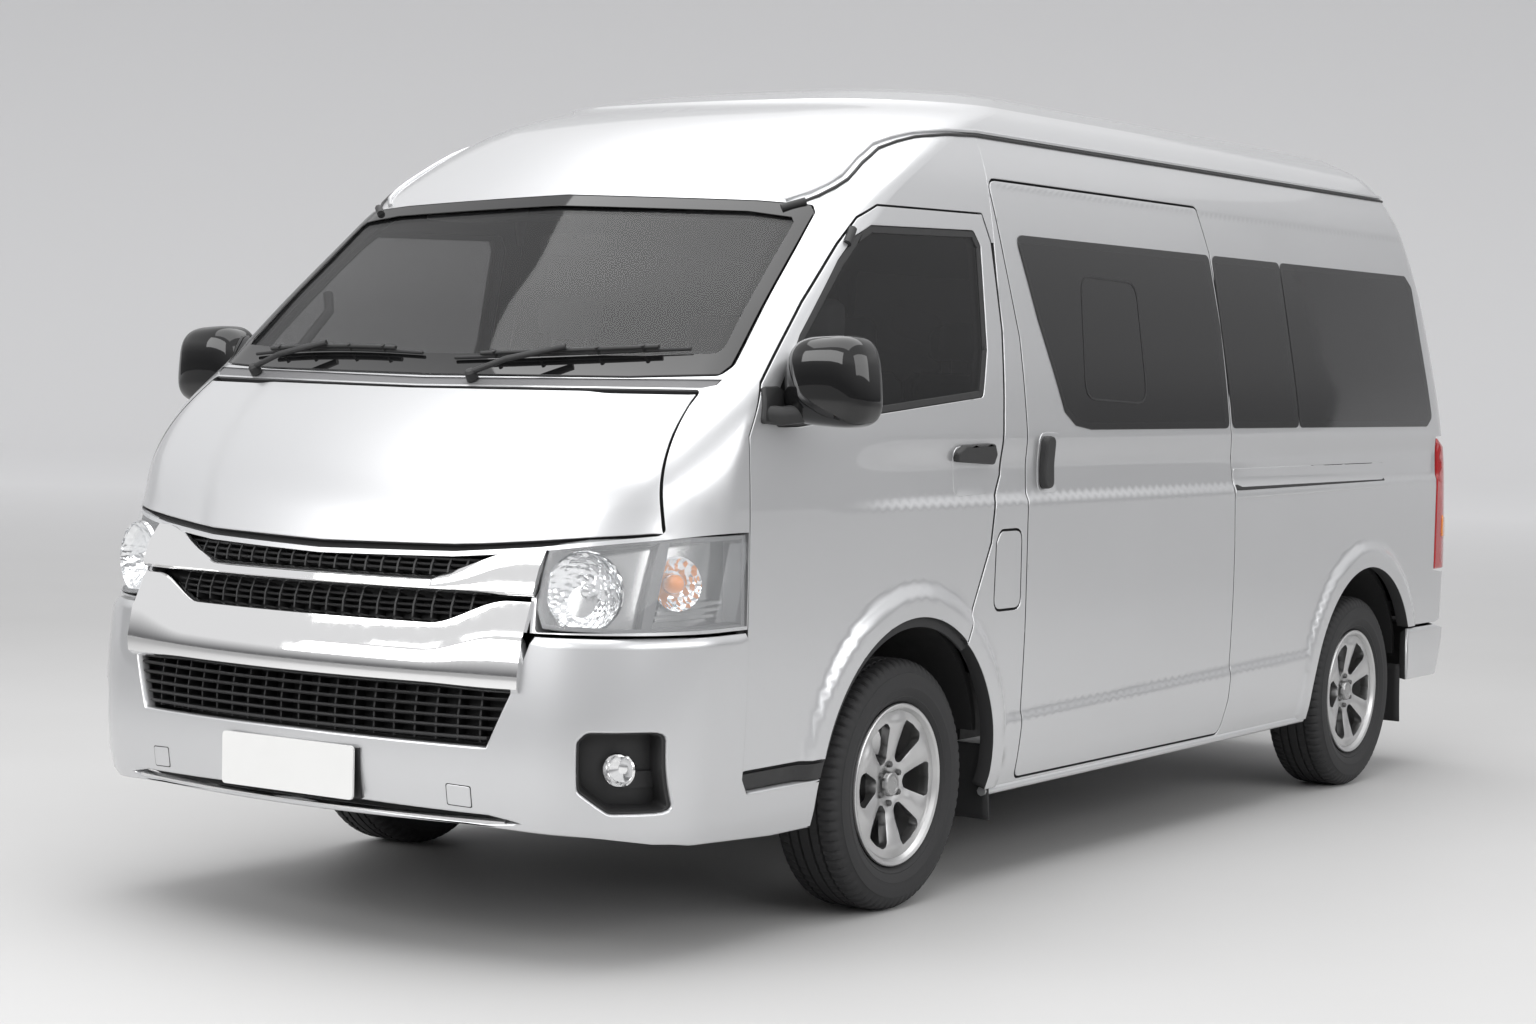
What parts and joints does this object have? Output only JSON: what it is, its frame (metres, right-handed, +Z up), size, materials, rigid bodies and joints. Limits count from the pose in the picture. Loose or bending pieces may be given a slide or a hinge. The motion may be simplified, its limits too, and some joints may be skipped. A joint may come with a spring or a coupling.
{
  "type": "high-roof passenger van",
  "caption": "High-roof passenger van with front doors, sliding side door, lifting tailgate, steered front wheels and rows of seats.",
  "frame": {"origin": "on the ground under the middle of the overall bounding box", "axes": "+Z up; +Y along the van towards its tail; +X towards the van's left-hand side"},
  "size_m": [2.22, 5.3828, 2.285],
  "materials": {
    "paint": "silver metallic, clear coated",
    "chassis": "satin black underbody paint",
    "black": "grained black plastic",
    "bright": "bright plated trim",
    "clear_lamp": "clear lamp cover",
    "red_lamp": "red lamp cover",
    "glass": "tinted safety glass",
    "privacy": "dark privacy glass",
    "tyre": "black rubber tread",
    "alloy": "painted silver alloy",
    "iron": "bare cast iron",
    "rubber": "black rubber",
    "fabric": "woven grey seat cloth",
    "dash": "grained dark grey plastic",
    "steel": "bare steel tube"
  },
  "bodies": {
    "body": {"floor_pan": "chassis", "nose_frame": "paint", "roof_panel": "paint", "left_side_panel": "paint", "right_side_panel": "paint", "cowl_panel": "black", "front_bumper": "paint", "rear_bumper": "paint", "grille": "bright", "front_lamps": "clear_lamp", "tail_lamps": "red_lamp", "sliding_door": "paint", "windscreen": "glass", "side_windows": "privacy", "mud_flaps": "rubber", "front_suspension": "chassis", "rear_axle": "chassis", "engine": "iron", "fuel_tank": "black", "exhaust": "steel", "spare_wheel": "tyre", "dashboard": "dash", "front_seats": "fabric", "passenger_seats": "fabric"},
    "front_door_left": {"front_door_left": "paint", "front_glass_left": "glass", "mirror_left": "black"},
    "front_door_right": {"front_door_right": "paint", "front_glass_right": "glass", "mirror_right": "black"},
    "hood": {"hood": "paint"},
    "tailgate": {"tailgate": "paint", "tailgate_glass": "privacy"},
    "fuel_lid": {"fuel_lid": "paint"},
    "knuckle_left": {"knuckle_left": "iron"},
    "knuckle_right": {"knuckle_right": "iron"},
    "steering_wheel": {"steering_wheel": "dash"},
    "wheel_fl": {"tyre_fl": "tyre", "wheel_fl": "alloy"},
    "wheel_fr": {"tyre_fr": "tyre", "wheel_fr": "alloy"},
    "wheel_rl": {"tyre_rl": "tyre", "wheel_rl": "alloy"},
    "wheel_rr": {"tyre_rr": "tyre", "wheel_rr": "alloy"}
  },
  "joints": [
    {"name": "steer_left", "type": "hinge", "parent": "body", "child": "knuckle_left", "pos_m": [0.7, -1.325, 0.336], "axis": [0, 0, 1], "range_deg": [-35, 35]},
    {"name": "steer_right", "type": "hinge", "parent": "body", "child": "knuckle_right", "pos_m": [-0.7, -1.325, 0.336], "axis": [0, 0, 1], "range_deg": [-35, 35]},
    {"name": "hand_wheel_turn", "type": "hinge", "parent": "body", "child": "steering_wheel", "pos_m": [-0.385, -1.735, 1.185], "axis": [0, 0.7431, 0.6691], "range_deg": [-530, 530]},
    {"name": "spin_fl", "type": "hinge", "parent": "knuckle_left", "child": "wheel_fl", "pos_m": [0.812, -1.325, 0.336], "axis": [1, 0, 0], "continuous": true},
    {"name": "spin_fr", "type": "hinge", "parent": "knuckle_right", "child": "wheel_fr", "pos_m": [-0.812, -1.325, 0.336], "axis": [1, 0, 0], "continuous": true},
    {"name": "spin_rl", "type": "hinge", "parent": "body", "child": "wheel_rl", "pos_m": [0.812, 1.785, 0.336], "axis": [1, 0, 0], "continuous": true},
    {"name": "spin_rr", "type": "hinge", "parent": "body", "child": "wheel_rr", "pos_m": [-0.812, 1.785, 0.336], "axis": [1, 0, 0], "continuous": true},
    {"name": "door_left_swing", "type": "hinge", "parent": "body", "child": "front_door_left", "pos_m": [0.943, -2.102, 1.1], "axis": [0, 0, -1], "range_deg": [0, 65]},
    {"name": "door_right_swing", "type": "hinge", "parent": "body", "child": "front_door_right", "pos_m": [-0.943, -2.102, 1.1], "axis": [0, 0, 1], "range_deg": [0, 65]},
    {"name": "hood_lift", "type": "hinge", "parent": "body", "child": "hood", "pos_m": [0, -2.23, 1.5], "axis": [-1, 0, 0], "range_deg": [0, 60]},
    {"name": "tailgate_lift", "type": "hinge", "parent": "body", "child": "tailgate", "pos_m": [0, 2.412, 2.078], "axis": [1, 0, 0], "range_deg": [0, 85]},
    {"name": "fuel_lid_swing", "type": "hinge", "parent": "body", "child": "fuel_lid", "pos_m": [0.943, -0.897, 0.89], "axis": [0, 0, -1], "range_deg": [0, 90]}
  ],
  "couplings": [
    {"joint": "steer_right", "follows": "steer_left", "ratio": 1},
    {"joint": "hand_wheel_turn", "follows": "steer_left", "ratio": 15}
  ]
}
